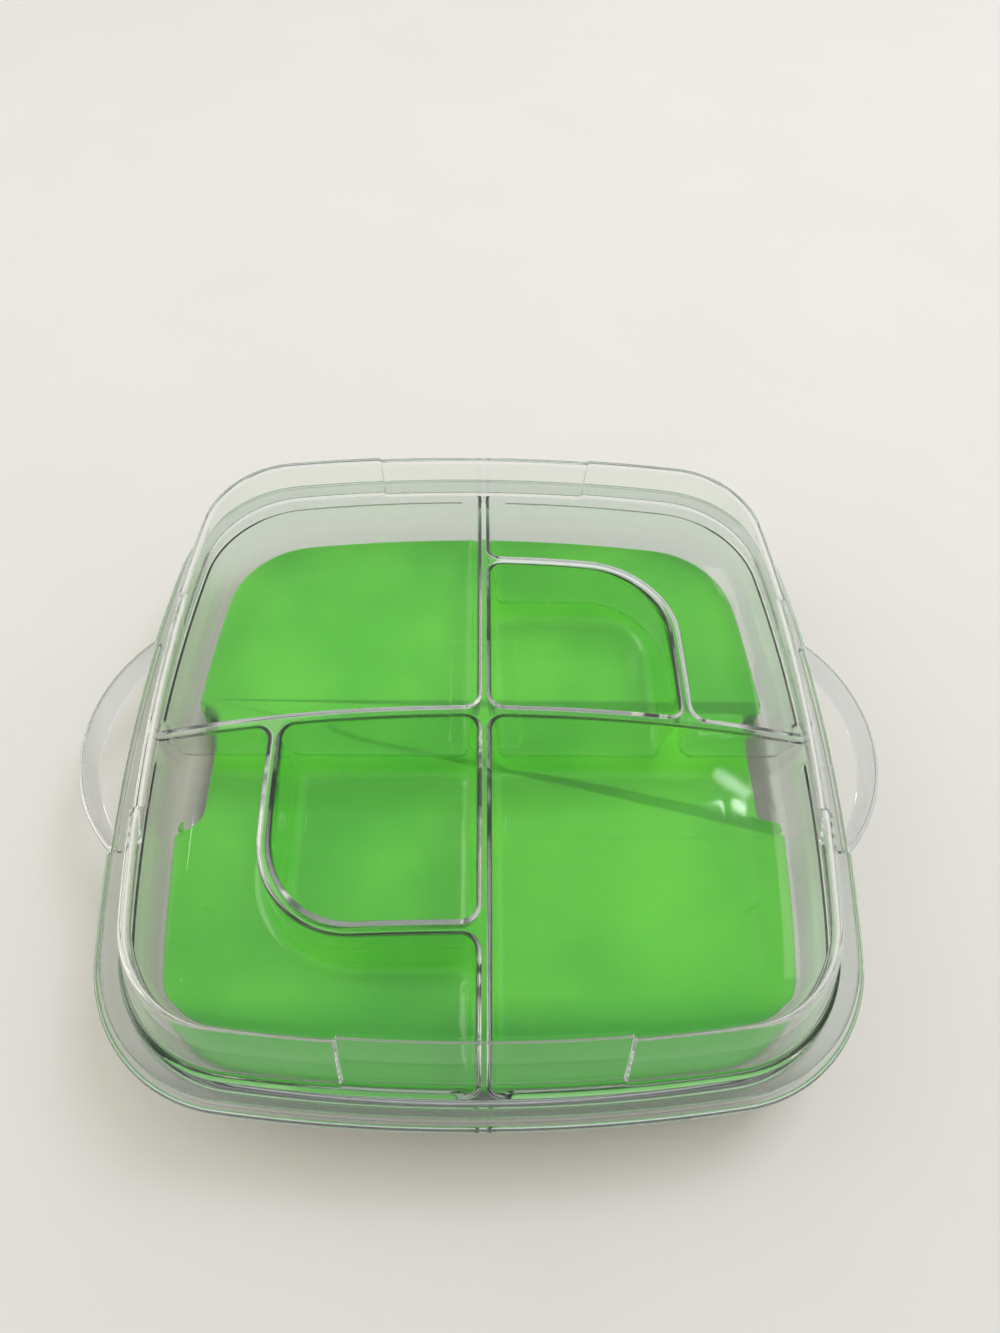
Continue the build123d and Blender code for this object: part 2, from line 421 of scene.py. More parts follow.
@dataclass(frozen=True)
class TintedPolyethylene:
    """Green polyethylene, blow moulded, with gel behind it.

    To the eye it is waxy and bright: light goes a little way in, the gloss is soft, and the colour
    is slightly uneven where the wall is thinner over the gel; a deeper green is painted along the front edge
    as shade.
    """

    name: str
    light: str = "70EA34"
    deep: str = "4ACE1C"
    ior: float = 1.51
    roughness: float = 0.33
    # painted shade: a deeper green along the pack's front edge, standing in for the shade seen there through
    # the clear walls
    rim: str = "34B80A"
    painted_shade_from: float = -108.0    # where along Y the painted shade at the front edge starts, in millimetres
    painted_shade_to: float = -122.0      # and where it is at full strength
    patch_mm: float = 60.0      # size of the paler and deeper patches
    grain_mm: float = 1.4       # fine texture of the mould
    grain_height_mm: float = 0.1
    subsurface: float = 0.35
    soak_mm: float = 4.0        # how far light goes in

    def make(self) -> bpy.types.Material:
        """Build the material.

        Returns:
            The material.
        """
        material, tree, out = new_material(self.name)
        place = add_node(tree, "ShaderNodeTexCoord").outputs["Object"]
        patches = add_node(tree, "ShaderNodeTexNoise",
                           values={"Scale": 1000 / self.patch_mm, "Detail": 2.0, "Roughness": 0.45},
                           links={"Vector": place})
        ramp = add_node(tree, "ShaderNodeMapRange", values={"From Min": 0.3, "From Max": 0.7},
                        links={"Value": patches.outputs["Fac"]})
        colour = add_node(tree, "ShaderNodeMix", settings={"data_type": "RGBA"},
                          values={6: linear(self.deep), 7: linear(self.light)},
                          links={0: ramp.outputs["Result"]})
        along = add_node(tree, "ShaderNodeSeparateXYZ", links={"Vector": place})
        # painted shade: towards the front edge the colour turns to the deeper green
        thick = add_node(tree, "ShaderNodeMapRange",
                         values={"From Min": self.painted_shade_from * MM, "From Max": self.painted_shade_to * MM},
                         links={"Value": along.outputs["Y"]})
        colour = add_node(tree, "ShaderNodeMix", settings={"data_type": "RGBA"},
                          values={7: linear(self.rim)},
                          links={0: thick.outputs["Result"], 6: colour.outputs[2]})
        grain = add_node(tree, "ShaderNodeTexNoise", values={"Scale": 1000 / self.grain_mm, "Detail": 2.0},
                         links={"Vector": place})
        height = add_node(tree, "ShaderNodeMath", settings={"operation": "MULTIPLY_ADD"},
                          values={1: 6.0}, links={0: patches.outputs["Fac"], 2: grain.outputs["Fac"]})
        bump = add_node(tree, "ShaderNodeBump",
                        values={"Strength": 0.25, "Distance": self.grain_height_mm * MM},
                        links={"Height": height.outputs[0]})
        skin = add_node(tree, "ShaderNodeBsdfPrincipled",
                        values={"Roughness": self.roughness, "IOR": self.ior,
                                "Subsurface Weight": self.subsurface, "Subsurface Scale": self.soak_mm * MM,
                                "Subsurface Radius": (0.5, 1.0, 0.35)},
                        links={"Base Color": colour.outputs[2], "Normal": bump.outputs["Normal"]})
        tree.links.new(skin.outputs[0], out.inputs["Surface"])
        return material


@dataclass(frozen=True)
class PaintedSweep:
    """Matt painted studio sweep. To the eye an even, warm white with no gloss."""

    name: str = "Studio_Sweep_Matt_Paint"
    colour: str = "E7E6E1"
    mottle: str = "E3E1DC"
    mottle_mm: float = 111.1
    roughness: float = 0.85

    def make(self) -> bpy.types.Material:
        """Build the material.

        Returns:
            The material.
        """
        material, tree, out = new_material(self.name)
        place = add_node(tree, "ShaderNodeTexCoord").outputs["Object"]
        noise = add_node(tree, "ShaderNodeTexNoise", values={"Scale": 1000 / self.mottle_mm, "Detail": 3.0},
                         links={"Vector": place})
        colour = add_node(tree, "ShaderNodeMix", settings={"data_type": "RGBA"},
                          values={6: linear(self.colour), 7: linear(self.mottle)},
                          links={0: noise.outputs["Fac"]})
        paint = add_node(tree, "ShaderNodeBsdfPrincipled", values={"Roughness": self.roughness},
                         links={"Base Color": colour.outputs[2]})
        tree.links.new(paint.outputs[0], out.inputs["Surface"])
        return material


# -------------------------------------------------------------------- the pieces

@dataclass
class Moulding:
    """A piece swept round the shared outline from a profile of half sizes and heights."""

    outline: Outline = field(default_factory=Outline)
    side_steps: int = 44
    bend_steps: int = 26
    break_at: float = 0.0       # distance from a side's middle at which its section changes
    break_width: float = 0.9

    def angles(self) -> tuple[np.ndarray, np.ndarray]:
        """Angles sampled on each side arc and on each corner arc, closer at the breaks.

        Returns:
            The side's angles and the corner's.
        """
        split = self.outline.split
        side = np.linspace(-split, split, self.side_steps + 1)
        bend = np.linspace(split, math.pi / 2 - split, self.bend_steps + 1)[1:-1]
        if self.break_at:
            offsets = np.array([-0.5, -0.17, 0.17, 0.5]) * self.break_width
            extra = np.array([s * self.break_at + d for s in (-1, 1) for d in offsets]) / self.outline.side_r
            gap = self.break_width / self.outline.side_r
            keep = side[np.min(np.abs(side[:, None] - extra[None, :]), axis=1) > gap]
            side = np.sort(np.concatenate([keep, extra]))
        return side, bend

    def inside_break(self, quarters: Sequence[int]) -> np.ndarray:
        """For each point of a ring, 1 between the breaks of these sides and 0 elsewhere.

        Args:
            quarters: which sides, counted anticlockwise from +X.

        Returns:
            One smooth value for each point.
        """
        side, bend = self.angles()
        share = (self.break_at - np.abs(side) * self.outline.side_r) / self.break_width + 0.5
        quarter = np.concatenate([eased(np.clip(share, 0, 1)), np.zeros(len(bend))])
        return np.concatenate([quarter * (n in quarters) for n in range(4)])

    def ring(self, half: float, z: float) -> np.ndarray:
        """The outline at this half size and height, as x, y and z."""
        return lifted(self.outline.ring(half, *self.angles()), z)

    def sweep(self, build: MeshBuilder, profile: Sequence[Point],
              change: Callable[[np.ndarray, int], np.ndarray] | None = None) -> list[np.ndarray]:
        """Sweep the profile round the outline and join its rings.

        Args:
            build: receives the points and faces.
            profile: half size and height of each ring, in order.
            change: optional change to a ring's points, given with its number.

        Returns:
            The indices of each ring.
        """
        rings = []
        for number, (half, z) in enumerate(profile):
            ring = self.ring(half, z)
            rings.append(build.add(change(ring, number) if change else ring))
        build.loft(rings)
        return rings


@dataclass
class BaseTray(Moulding):
    """Clear outer tray: a ledge for the insert, a leaning lip and a band handle on each side."""

    break_at: float = 53.0
    break_width: float = 2.4
    foot_top: float = 2.5
    floor_top: float = 4.85
    inner_low: float = 147.5
    inner_high: float = 151.0
    wall: float = 2.2
    ledge_z: float = 43.0
    rim_t: float = 2.0
    lip_low: float = 160.0
    lip_high: float = 163.0
    lip_top: float = 46.5
    lip_t: float = 2.3
    plain_edge: float = 158.7
    lip_foot_r: float = 0.8     # radius under the lip, where it leaves the rim
    foot_inner: float = 128.0
    foot_outer: float = 134.0
    foot_r: float = 0.6         # radius of the ring foot's edges
    foot_draft: float = 0.2
    heel_r: float = 8.0         # radius outside, where the wall meets the floor
    heel_swell: float = 1.0     # how far it is set out to meet the leaning wall
    under_r: float = 1.6        # fillet under the rim
    ledge_r: float = 0.8        # edge of the ledge
    cove_r: float = 2.5         # fillet inside, where the wall meets the floor
    flat_half: float = 112.0    # the floor is one flat face within this
    handle_reach: float = 183.5
    handle_lean: float = 5.0
    handle_half: float = 54.0
    handle_root: float = 157.5
    handle_low: float = 37.0
    handle_top: float = 47.5
    handle_t: float = 2.4

    def lip(self) -> list[Point]:
        """The lip's section, from its foot up the outside, over the edge and down the inside.

        Returns:
            Half size and height of each point.
        """
        under = self.ledge_z - self.rim_t
        lean = math.degrees(math.atan((self.lip_high - self.lip_low) / (self.lip_top - under)))
        r = self.lip_t / 2
        tip = (self.lip_high - r * 1.02, self.lip_top - r)
        slope = math.tan(math.radians(lean))
        inside = tip[0] - r / math.cos(math.radians(lean)) - slope * (tip[1] - self.ledge_z)
        foot_r = self.lip_foot_r
        points = arc_profile(self.lip_low - foot_r, under + foot_r, foot_r, 270, 360 - lean, 4)
        points += arc_profile(*tip, r, -lean, 180 - lean, 9)
        fillet = ((0.62, 1.0), (0.1, 0.3), (-0.8, 0.0))     # the small one where it meets the ledge
        return points + [(inside + x, self.ledge_z + z) for x, z in fillet]

    def edge(self, count: int) -> list[Point]:
        """The flat rim's rounded edge where the lip is left out, as this many points."""
        r = self.rim_t / 2
        return arc_profile(self.plain_edge - r, self.ledge_z - r, r, -90, 90, count - 1)

    def profile(self) -> tuple[list[Point], list[Point]]:
        """The tray's section from under its floor round to its floor's top.

        Returns:
            The section with the lip, and the same number of points without it.
        """
        under = self.ledge_z - self.rim_t
        out_low, out_high = self.inner_low + self.wall, self.inner_high + self.wall
        lean = (out_high - out_low) / (self.ledge_z - self.foot_top)
        foot_r, heel_r, under_r = self.foot_r, self.heel_r, self.under_r
        ledge_r, cove_r = self.ledge_r, self.cove_r
        inset = self.foot_draft + foot_r
        below = [(self.flat_half, self.foot_top), (self.foot_inner - 1, self.foot_top)]
        below += [(self.foot_inner, self.foot_top), (self.foot_inner + self.foot_draft, 0.5)]
        below += arc_profile(self.foot_inner + inset, foot_r, foot_r, 190, 270, 2)
        below += arc_profile(self.foot_outer - inset, foot_r, foot_r, 270, 350, 2)
        below += [(self.foot_outer, self.foot_top)]
        below += arc_profile(out_low + self.heel_swell - heel_r, self.foot_top + heel_r, heel_r, 270, 354, 8)
        below += [(out_low + lean * 22, self.foot_top + 22)]
        below += arc_profile(out_high - 0.2 + under_r, under - under_r, under_r, 174, 90, 4)
        above = arc_profile(self.inner_high + ledge_r, self.ledge_z - ledge_r, ledge_r, 90, 174, 4)
        above += [(self.inner_high - lean * 20, self.ledge_z - 20)]
        above += arc_profile(self.inner_low + 0.3 - cove_r, self.floor_top + cove_r, cove_r, -6, -90, 5)
        above += [(self.inner_low - 4, self.floor_top), (self.flat_half, self.floor_top)]
        lip = self.lip()
        return below + lip + above, below + self.edge(len(lip)) + above

    def handle_tree(self) -> bpy.types.GeometryNodeTree:
        """Geometry nodes that bend a leaning rounded band along an arc and copy it to the other side.

        Returns:
            The tree, with an input for each size.
        """
        tree = bpy.data.node_groups.new("Handle_Bands", "GeometryNodeTree")
        for name in ("Root X", "Reach X", "Half Length", "Middle Z",
                     "Thickness", "Height", "Lean", "Edge Radius"):
            tree.interface.new_socket(name, in_out="INPUT", socket_type="NodeSocketFloat")
        tree.interface.new_socket("Finish", in_out="INPUT", socket_type="NodeSocketMaterial")
        tree.interface.new_socket("Geometry", in_out="OUTPUT", socket_type="NodeSocketGeometry")
        given = add_node(tree, "NodeGroupInput").outputs
        back = add_node(tree, "ShaderNodeMath", settings={"operation": "MULTIPLY"},
                        values={1: -1.0}, links={0: given["Half Length"]})
        corners = []
        for x, y in (("Root X", back.outputs[0]), ("Reach X", None), ("Root X", given["Half Length"])):
            wires = {"X": given[x], "Z": given["Middle Z"]}
            if y:
                wires["Y"] = y
            corners.append(add_node(tree, "ShaderNodeCombineXYZ", links=wires).outputs[0])
        path = add_node(tree, "GeometryNodeCurveArc", settings={"mode": "POINTS"},
                        values={"Resolution": 97},
                        links={"Start": corners[0], "Middle": corners[1], "End": corners[2]})
        section = add_node(tree, "GeometryNodeCurvePrimitiveQuadrilateral",
                           links={"Width": given["Thickness"], "Height": given["Height"]})
        softened = add_node(tree, "GeometryNodeFilletCurve", settings={"mode": "POLY"},
                            values={"Count": 5},
                            links={"Curve": section.outputs[0], "Radius": given["Edge Radius"]})
        turn = add_node(tree, "ShaderNodeCombineXYZ", links={"Z": given["Lean"]})
        leaning = add_node(tree, "GeometryNodeTransform",
                           links={"Geometry": softened.outputs[0], "Rotation": turn.outputs[0]})
        band = add_node(tree, "GeometryNodeCurveToMesh", values={"Fill Caps": True},
                        links={"Curve": path.outputs["Curve"], "Profile Curve": leaning.outputs[0]})
        other = add_node(tree, "GeometryNodeTransform", values={"Rotation": (0.0, 0.0, math.pi)},
                         links={"Geometry": band.outputs[0]})
        both = add_node(tree, "GeometryNodeJoinGeometry", links={"Geometry": band.outputs[0]})
        tree.links.new(other.outputs[0], both.inputs["Geometry"])
        real = add_node(tree, "GeometryNodeRealizeInstances", links={"Geometry": both.outputs[0]})
        dressed = add_node(tree, "GeometryNodeSetMaterial",
                           links={"Geometry": real.outputs[0], "Material": given["Finish"]})
        add_node(tree, "NodeGroupOutput", links={"Geometry": dressed.outputs[0]})
        return tree

    def handles(self, finish: bpy.types.Material) -> bpy.types.Object:
        """Make both bands as one mesh.

        Args:
            finish: their material.

        Returns:
            The object.
        """
        tree = self.handle_tree()
        obj = bpy.data.objects.new("handles", bpy.data.meshes.new("handles"))
        bpy.context.scene.collection.objects.link(obj)
        modifier = obj.modifiers.new("bands", "NODES")
        modifier.node_group = tree
        rise = self.handle_top - self.handle_low
        sizes = {
            "Root X": self.handle_root * MM,
            "Reach X": (self.handle_reach - (self.handle_lean + self.handle_t) / 2) * MM,
            "Half Length": (self.handle_half - self.handle_t / 2) * MM,
            "Middle Z": (self.handle_low + self.handle_top) / 2 * MM,
            "Thickness": self.handle_t * MM,
            "Height": math.hypot(rise, self.handle_lean) * MM,
            "Lean": math.atan(self.handle_lean / rise),
            "Edge Radius": self.handle_t * 0.42 * MM,
            "Finish": finish,
        }
        for item in tree.interface.items_tree:
            if item.name in sizes:
                modifier[item.identifier] = sizes[item.name]
        return evaluated(obj, "handles")

    def space_inside(self) -> bpy.types.Object:
        """The space within the lip and the wall, which the handles' ends must not enter.

        Returns:
            A closed mesh to cut with.
        """
        maker = MeshBuilder()
        half, low, high = self.lip_low - self.lip_t + 0.5, self.ledge_z - self.rim_t, self.lip_top + 4
        slope = (self.lip_high - self.lip_low) / (self.lip_top - low)
        section = [(half, self.handle_low - 4), (half, low), (half + slope * (high - low), high)]
        maker.cap_ends(self.sweep(maker, section))
        return maker.build("space_inside_lip")

    def build(self, finish: bpy.types.Material) -> bpy.types.Object:
        """Make the tray with its handles as one closed mesh.

        Args:
            finish: its material.

        Returns:
            The object.
        """
        profile, plain = self.profile()
        bare = self.inside_break((0, 2))[:, None]

        def leave_out_lip(ring: np.ndarray, number: int) -> np.ndarray:
            """The ring with the plain rim's edge where the handles are."""
            return ring * (1 - bare) + self.ring(*plain[number]) * bare

        maker = MeshBuilder()
        maker.cap_ends(self.sweep(maker, profile, leave_out_lip))
        tray = maker.build("base_tray_body", finish)
        loops = combined(self.handles(finish), self.space_inside(), "DIFFERENCE", "handles_trimmed")
        return combined(tray, loops, "UNION", "base_tray_shell")


@dataclass
class FreezerPack(Moulding):
    """Green pack with a finger notch in the middle of each side."""

    half: float = 144.5
    low: float = 5.0
    top: float = 19.0
    edge_r: float = 3.0
    face_inset: float = 3.6     # the top and the underside are one flat face within this
    notch_half: float = 33.0
    notch_depth: float = 13.0
    notch_r: float = 11.0
    mouth_r: float = 4.0
    plug_seat_r: float = 8.2
    plug_seat_depth: float = 1.1
    plug_y: float = -118.0

    def notch_path(self) -> Loop:
        """The +X side's notch, from its front end to its back end, as arcs and straights.

        Returns:
            One row of x and y for each point.
        """
        inner = self.half - self.notch_depth
        y_in, r, m = self.notch_half, self.notch_r, self.mouth_r
        edge_x = self.outline.side(self.half, np.array([y_in / (self.half + self.outline.back)]))[0][0]

        mouth = arc_profile(edge_x - m, -y_in - m, m, 3, 90, 8)
        bottom = arc_profile(inner + r, -y_in + r, r, 270, 180, 8)
        half_path = np.vstack([mouth, bottom])
        other = half_path[::-1] * [1, -1]
        middle = np.column_stack([np.full(7, inner), np.linspace(-y_in + r, y_in - r, 9)[1:-1]])
        return np.vstack([half_path, middle, other])

    def plan(self) -> Loop:
        """The pack's outline with both notches, anticlockwise.

        Returns:
            One row of x and y for each point.
        """
        side, bend = self.angles()
        outline = self.outline
        notch = self.notch_path()
        gap = (self.notch_half + self.mouth_r) / (self.half + outline.back)
        front = outline.side(self.half, side[side < -gap - 0.004])
        back = outline.side(self.half, side[side > gap + 0.004])
        plain = outline.side(self.half, side)
        corner = outline.bend(self.half, bend)
        notched = np.vstack([front, notch, back, corner])
        full = np.vstack([plain, corner])
        return np.vstack([notched, turned(full, 1), turned(notched, 2), turned(full, 3)])

    def build(self, finish: bpy.types.Material) -> bpy.types.Object:
        """Make the pack's skin.

        Args:
            finish: its material.

        Returns:
            The object.
        """
        plan = self.plan()
        along = np.roll(plan, -1, axis=0) - np.roll(plan, 1, axis=0)
        outward = np.column_stack([along[:, 1], -along[:, 0]])
        outward /= np.linalg.norm(outward, axis=1)[:, None]
        r = self.edge_r
        levels = [(self.face_inset, self.low)]
        levels += [(r - x, self.low + r + z) for x, z in arc_profile(0, 0, r, -90, 0, 6)]
        levels += [(r - x, self.top - r + z) for x, z in arc_profile(0, 0, r, 0, 90, 6)]
        levels += [(self.face_inset, self.top)]
        maker = MeshBuilder()
        rings = [maker.add(lifted(plan - outward * inset, z)) for inset, z in levels]
        maker.loft(rings)
        maker.cap_ends(rings)
        pack = maker.build("freezer_pack_body", finish)
        return combined(pack, self.plug_seat(), "DIFFERENCE", "freezer_pack_skin")

    def plug_seat(self) -> bpy.types.Object:
        """A shallow disc that cuts the filling plug's seat into the underside.

        Returns:
            A closed mesh to cut with.
        """
        maker = MeshBuilder()
        turn = np.linspace(0, 2 * math.pi, 49)[:-1]
        circle = np.column_stack([np.cos(turn), np.sin(turn)]) * self.plug_seat_r + [0.0, self.plug_y]
        rings = [maker.add(lifted(circle, z)) for z in (self.low - 1.0, self.low + self.plug_seat_depth)]
        maker.loft(rings)
        maker.cap_ends(rings)
        return maker.build("plug_seat")


class SideKind(Enum):
    """What a side of a compartment is."""

    DIVIDER = "divider"
    OUTER = "outer wall"


class Shape(Enum):
    """The three kinds of compartment in the insert."""

    FULL = "full quarter"
    CUP = "dip cup"
    CORNER = "L round a dip cup"


@dataclass
class DividedInsert:
    """One clear sheet-like moulding: compartments, hollow arched dividers and a flange."""

    outline: Outline = field(default_factory=Outline)
    rim_z: float = 51.0
    floor_z: float = 21.5
    wall: float = 2.2
    floor_half: float = 145.0
    cove_r: float = 20.0
    rim_crown_r: float = 2.4    # radius of the rim's inner edge
    step_depth: float = 6.8     # depth below the rim of the small step in the outer wall
    step_rise: float = 0.6      # half the step's height
    step_insets: Point = (0.25, 1.5)
    ridge_top: float = 3.1
    ridge_foot: float = 5.4
    ridge_cove: float = 6.0
    crown_r: float = 2.5
    arch: float = 24.5
    arch_reach: float = 145.5
    cup_half: float = 92.0
    cup_corner: float = 40.0
    cup_foot_corner: float = 24.0   # plan radius inside a cup where the cove at its floor begins
    crossing_fillets: Point = (6.0, 4.0)    # plan radii between two dividers, at the top and at the floor
    wall_fillets: Point = (3.0, 12.0)       # and between a divider and the outer wall
    flange: float = 158.8
    flange_r: float = 0.8       # radius of the flange's edge
    seat_half: float = 153.6    # a ring part way across the flange's flat top
    near_steps: int = 34        # along a divider from the crossing to the cup's wall
    far_steps: int = 22         # and on to the outer wall
    side_steps: int = 34
    bend_steps: int = 24
    cup_steps: int = 22
    fillet_steps: int = 8

    def dome(self, points: Loop) -> np.ndarray:
        """Height of the dividers' tops over these plan points.

        Args:
            points: rows of x and y.

        Returns:
            One height for each point.
        """
        radius = (self.arch_reach**2 + self.arch**2) / (2 * self.arch)
        flat = np.sum(points[:, :2] ** 2, axis=1)
        top = self.rim_z + self.arch - radius + np.sqrt(np.maximum(radius**2 - flat, 0))
        return np.maximum(top, self.rim_z)

    def divider_levels(self) -> list[tuple[float, float, float]]:
        """Each level down a divider: distance from its middle, share of the top's height, and fall.

        A level's height is the floor plus share times the top's height over the floor, less fall.

        Returns:
            The levels, from the crest to the floor.
        """
        crown = self.crown_r
        levels = [(0.0, 1.0, 0.0)]
        for a in np.radians([0, 22.5, 45, 67.5, 90]):
            w = self.ridge_top - crown + crown * math.sin(a)
            levels.append((w, 1.0, crown * (1 - math.cos(a))))
        cove = self.ridge_cove
        for share in (0.66, 0.33, 0.0):
            w = self.ridge_foot + (self.ridge_top - self.ridge_foot) * share
            levels.append((w, share, crown * share - cove * (1 - share)))
        for a in np.radians([15, 30, 45, 60, 75, 90]):
            levels.append((self.ridge_foot + cove * (1 - math.cos(a)), 0.0, -cove * (1 - math.sin(a))))
        levels.append((self.ridge_foot + cove + 1.0, 0.0, 0.0))
        return levels

    def outer_levels(self) -> list[Point]:
        """Each level down the outer wall: inset from the rim's opening, and height.

        Returns:
            As many levels as a divider has.
        """
        crown = self.rim_crown_r
        levels = [(-crown, self.rim_z)]
        for a in np.radians([4, 25, 47, 68, 86]):
            levels.append((crown * (math.sin(a) - 1), self.rim_z - crown * (1 - math.cos(a))))
        depth = self.rim_z - self.floor_z
        lean = (self.outline.half - self.floor_half) / depth
        angle = math.atan(lean)
        for inset, rise in zip(self.step_insets, (self.step_rise, -self.step_rise)):
            levels.append((inset, self.rim_z - self.step_depth + rise))
        r = self.cove_r
        centre = self.outline.half - self.floor_half - r * lean + r / math.cos(angle)
        for a in np.linspace(angle, math.pi / 2, 7):
            levels.append((centre - r * math.cos(a), self.floor_z + r * (1 - math.sin(a))))
        levels.append((centre + 1.0, self.floor_z))
        return levels

    def fillets(self, meets_outer: bool) -> list[float]:
        """Plan radius of a compartment's corner at each level.

        Args:
            meets_outer: whether one of the two sides is the outer wall.

        Returns:
            One radius for each level.
        """
        widths = [w for w, _, _ in self.divider_levels()]
        top, foot = self.wall_fillets if meets_outer else self.crossing_fillets
        radii = [0.0]
        for w in widths[1:6]:
            radii.append(top + self.ridge_top - w)
        for step in range(6, len(widths)):
            share = (step - 5) / (len(widths) - 6)
            radii.append(top + (foot - top) * share)
        return radii

    def heights(self, level: int, kind: SideKind, points: Loop) -> np.ndarray:
        """Height of a level's points on one kind of side.

        Args:
            level: number of the level.
            kind: what the side is.
            points: its plan points.

        Returns:
            One height for each point.
        """
        if kind is SideKind.OUTER:
            return np.full(len(points), self.outer_levels()[level][1])
        _, share, fall = self.divider_levels()[level]
        rise = self.dome(points) - self.floor_z
        return self.floor_z + share * rise - fall

    def arc_between(self, centre: Point, radius: float, start: Point, end: Point) -> Loop:
        """Fillet arc from one side to the next, as points; a point when radius is 0.

        Args:
            centre: centre of the arc.
            radius: its radius.
            start: where it leaves the first side.
            end: where it meets the next one.

        Returns:
            One row of x and y for each point.
        """
        if radius < 1e-6:
            return np.repeat([centre], self.fillet_steps + 1, axis=0)
        a0 = math.atan2(start[1] - centre[1], start[0] - centre[0])
        a1 = math.atan2(end[1] - centre[1], end[0] - centre[0])
        turn = (a1 - a0 + math.pi) % (2 * math.pi) - math.pi
        a = a0 + turn * np.linspace(0, 1, self.fillet_steps + 1)
        return np.column_stack([centre[0] + radius * np.cos(a), centre[1] + radius * np.sin(a)])

    def wall_corner(self, w: float, inset: float, radius: float) -> tuple[Point, Point, Point]:
        """Fillet between the +X divider and the outer wall.

        Args:
            w: the divider's half width here.
            inset: the outer wall's inset here.
            radius: plan radius of the fillet.

        Returns:
            Its centre, its end on the divider and its end on the outer wall.
        """
        back = self.outline.back
        reach = self.outline.side_r - inset
        y = w + radius
        x = math.sqrt((reach - radius) ** 2 - y**2) - back
        away = math.hypot(x + back, y)
        on_wall = ((x + back) / away * reach - back, y / away * reach)
        return (x, y), (x, w), on_wall

    def divider_side(self, w: float, start: float, end: float, shares: np.ndarray) -> Loop:
        """Points along the +X divider's face between two x positions."""
        return np.column_stack([start + (end - start) * shares, np.full(len(shares), w)])

    def outer_side(self, inset: float, start: Point) -> Loop:
        """Points along the outer wall of the +X+Y quarter, from near the +X divider to the +Y one.

        Args:
            inset: how far the wall stands in from the rim's opening.
            start: its first point.

        Returns:
            One row of x and y for each point.
        """
        half = self.outline.half - inset
        first = math.atan2(start[1], start[0] + self.outline.back)
        split = self.outline.split
        side = self.outline.side(half, np.linspace(first, split, self.side_steps + 1))
        bend = self.outline.bend(half, np.linspace(split, math.pi / 2 - split, self.bend_steps + 1))
        return np.vstack([side, bend[1:-1], across(side)])

    def cup_radius(self, w: float) -> float:
        """Plan radius of a dip cup's corner, this far from the middle of its wall.

        Args:
            w: distance from the middle of the cup's wall, inwards.

        Returns:
            The radius.
        """
        if w <= self.ridge_top:
            return self.cup_corner - w
        top = self.cup_corner - self.ridge_top
        share = (w - self.ridge_top) / (self.ridge_foot - self.ridge_top)
        if share <= 1.0:
            return top + (self.cup_foot_corner - top) * share
        return self.cup_foot_corner + self.ridge_foot - w

    def cup_side(self, offset: float, radius: float, start_y: float) -> Loop:
        """Points along a cup wall's face, from near the +X divider to near the +Y one.

        Args:
            offset: distance of the face from the wall's middle, outwards.
            radius: plan radius of its corner.
            start_y: where it begins.

        Returns:
            One row of x and y for each point.
        """
        reach = self.cup_half + offset
        turn = reach - radius
        straight = np.column_stack([np.full(self.cup_steps + 1, reach),
                                    np.linspace(start_y, turn, self.cup_steps + 1)])
        a = np.linspace(0, math.pi / 2, self.bend_steps + 1)[1:-1]
        bend = np.column_stack([turn + radius * np.cos(a), turn + radius * np.sin(a)])
        return np.vstack([straight, bend, across(straight)])

    def shares(self, shape: Shape) -> np.ndarray:
        """How far along a divider its points stand, so that neighbours share theirs.

        Args:
            shape: which kind of compartment.

        Returns:
            Shares of the divider's length, from 0 to 1.
        """
        reach = self.outline.half - self.outer_levels()[0][0]
        near = np.linspace(0, self.cup_half, self.near_steps + 1)
        far = np.linspace(self.cup_half, reach, self.far_steps + 1)
        if shape is Shape.CUP:
            return near / self.cup_half
        if shape is Shape.CORNER:
            return (far - self.cup_half) / (reach - self.cup_half)
        return np.concatenate([near, far[1:]]) / reach

    def level_loop(self, shape: Shape, level: int) -> np.ndarray:
        """One level of a compartment in the +X+Y quarter.

        Args:
            shape: which kind of compartment.
            level: number of the level, down from the rim.

        Returns:
            Rows of x, y and z, anticlockwise.
        """
        w = self.divider_levels()[level][0]
        inset = self.outer_levels()[level][0]
        soft = self.fillets(False)[level]
        round_out = self.fillets(True)[level]
        pieces: list[tuple[Loop, np.ndarray]] = []

        def put(kind: SideKind, *sides: Loop) -> None:
            """Add sides of one kind."""
            pieces.extend((points, self.heights(level, kind, points)) for points in sides)

        def blend(points: Loop, to_outer: bool) -> None:
            """Add a corner that passes from a divider's height to the outer wall's, or back.

            Args:
                points: its plan points.
                to_outer: whether it ends at the outer wall.
            """
            low = self.heights(level, SideKind.DIVIDER, points)
            high = self.heights(level, SideKind.OUTER, points)
            share = eased(np.linspace(0, 1, len(points)))
            pieces.append((points, low + (high - low) * (share if to_outer else 1 - share)))

